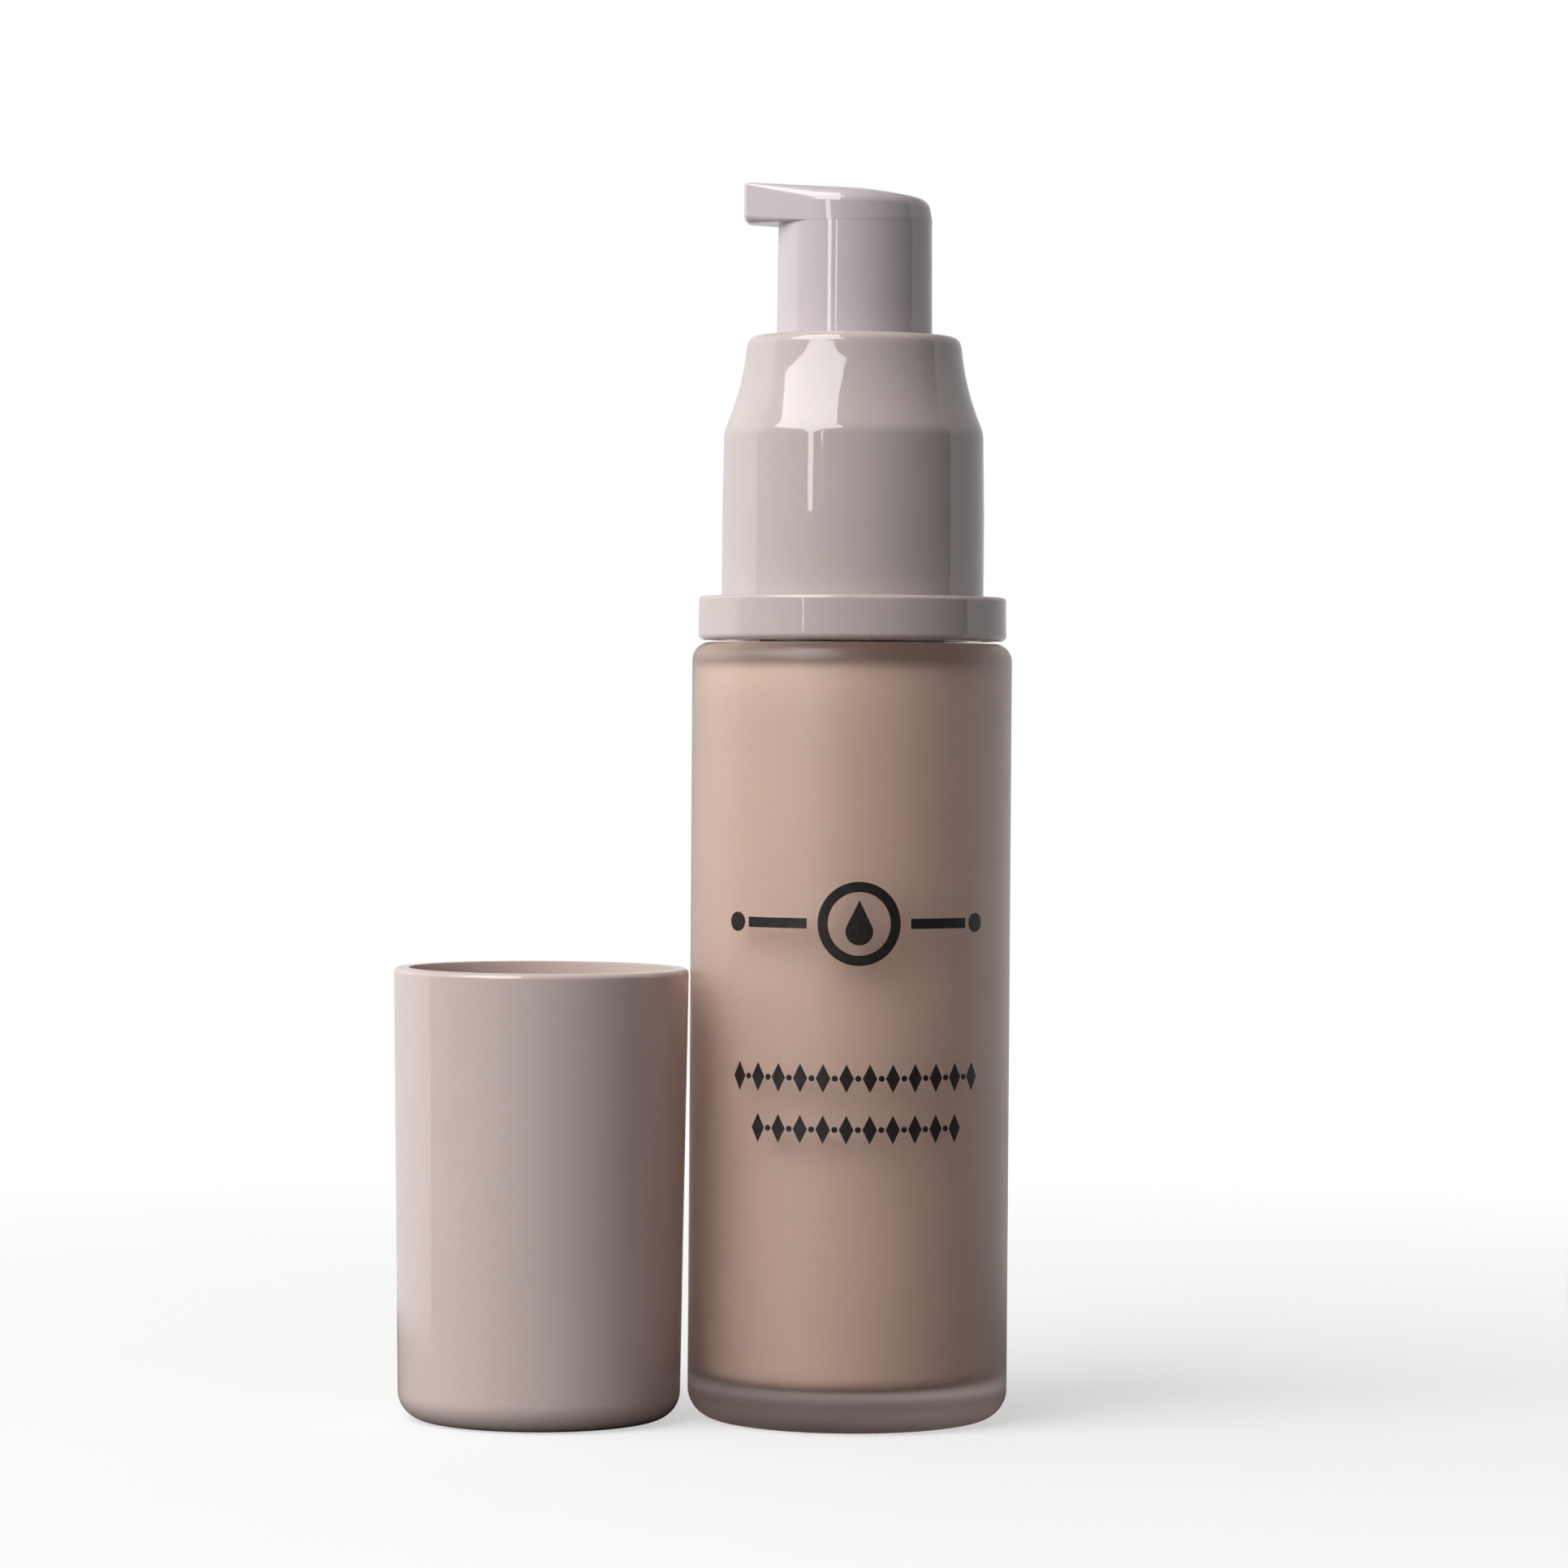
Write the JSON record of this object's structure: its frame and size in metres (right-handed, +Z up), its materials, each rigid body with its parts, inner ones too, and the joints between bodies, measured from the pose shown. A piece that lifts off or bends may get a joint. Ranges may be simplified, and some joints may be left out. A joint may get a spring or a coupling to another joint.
{
  "type": "foundation bottle",
  "caption": "Satin glass foundation bottle with a treatment pump under a flared collar shell and a slanted round head, and a loose overcap standing rim up beside it.",
  "frame": {"origin": "centre of the bottle's flat base, where it stands", "axes": "+Z up along the bottle and pump axis; -X is the way the spout points and the side on which the loose overcap stands"},
  "size_m": [0.0615, 0.0331, 0.1234],
  "materials": {
    "satin_glass": "satin, acid-etched outside",
    "foundation": "opaque beige liquid",
    "collar_gloss": "polished warm grey",
    "head_gloss": "polished light lilac grey",
    "cap_gloss": "polished pinkish grey",
    "inner_plastic": "natural moulded",
    "seal_plastic": "soft waxy",
    "tube_plastic": "translucent extruded",
    "steel": "drawn stainless",
    "gasket": "matt"
  },
  "bodies": {
    "root": {"bottle": "satin_glass", "foundation_fill": "foundation"},
    "pump": {"pump_housing": "inner_plastic", "chaplet": "inner_plastic", "neck_gasket": "gasket", "dip_tube": "tube_plastic", "return_spring": "steel"},
    "collar": {"screw_closure": "inner_plastic", "collar_shell": "collar_gloss"},
    "plunger": {"pump_stem": "inner_plastic", "stem_plug": "inner_plastic"},
    "piston": {"piston": "seal_plastic"},
    "head": {"actuator_shell": "head_gloss", "actuator_core": "inner_plastic"},
    "ball": {"inlet_ball": "steel"},
    "cap": {"overcap": "cap_gloss"}
  },
  "joints": [
    {"name": "pump_lift", "type": "slide", "parent": "root", "child": "pump", "axis": [0, 0, 1], "range_m": [0, 0.0048]},
    {"name": "collar_turn", "type": "hinge", "parent": "pump", "child": "collar", "pos_m": [0, 0, 0.085], "axis": [0, 0, 1], "range_deg": [0, 540]},
    {"name": "pump_stroke", "type": "slide", "parent": "pump", "child": "plunger", "axis": [0, 0, -1], "range_m": [0, 0.0055], "stiffness_N_per_m": 700, "springref_m": -0.006, "deforming": ["return_spring"]},
    {"name": "piston_slide", "type": "slide", "parent": "pump", "child": "piston", "axis": [0, 0, -1], "range_m": [0, 0.005]},
    {"name": "head_swivel", "type": "hinge", "parent": "plunger", "child": "head", "pos_m": [0, 0, 0.11], "axis": [0, 0, 1], "continuous": true},
    {"name": "ball_lift", "type": "slide", "parent": "pump", "child": "ball", "axis": [0, 0, 1], "range_m": [0, 0.0012]},
    {"name": "cap_lift", "type": "slide", "parent": "root", "child": "cap", "axis": [0, 0, 1], "range_m": [0, 0.13]}
  ],
  "couplings": [
    {"joint": "pump_lift", "follows": "collar_turn", "m_per_rad": 0.00050531},
    {"joint": "piston_slide", "follows": "pump_stroke", "ratio": 0.90909}
  ]
}
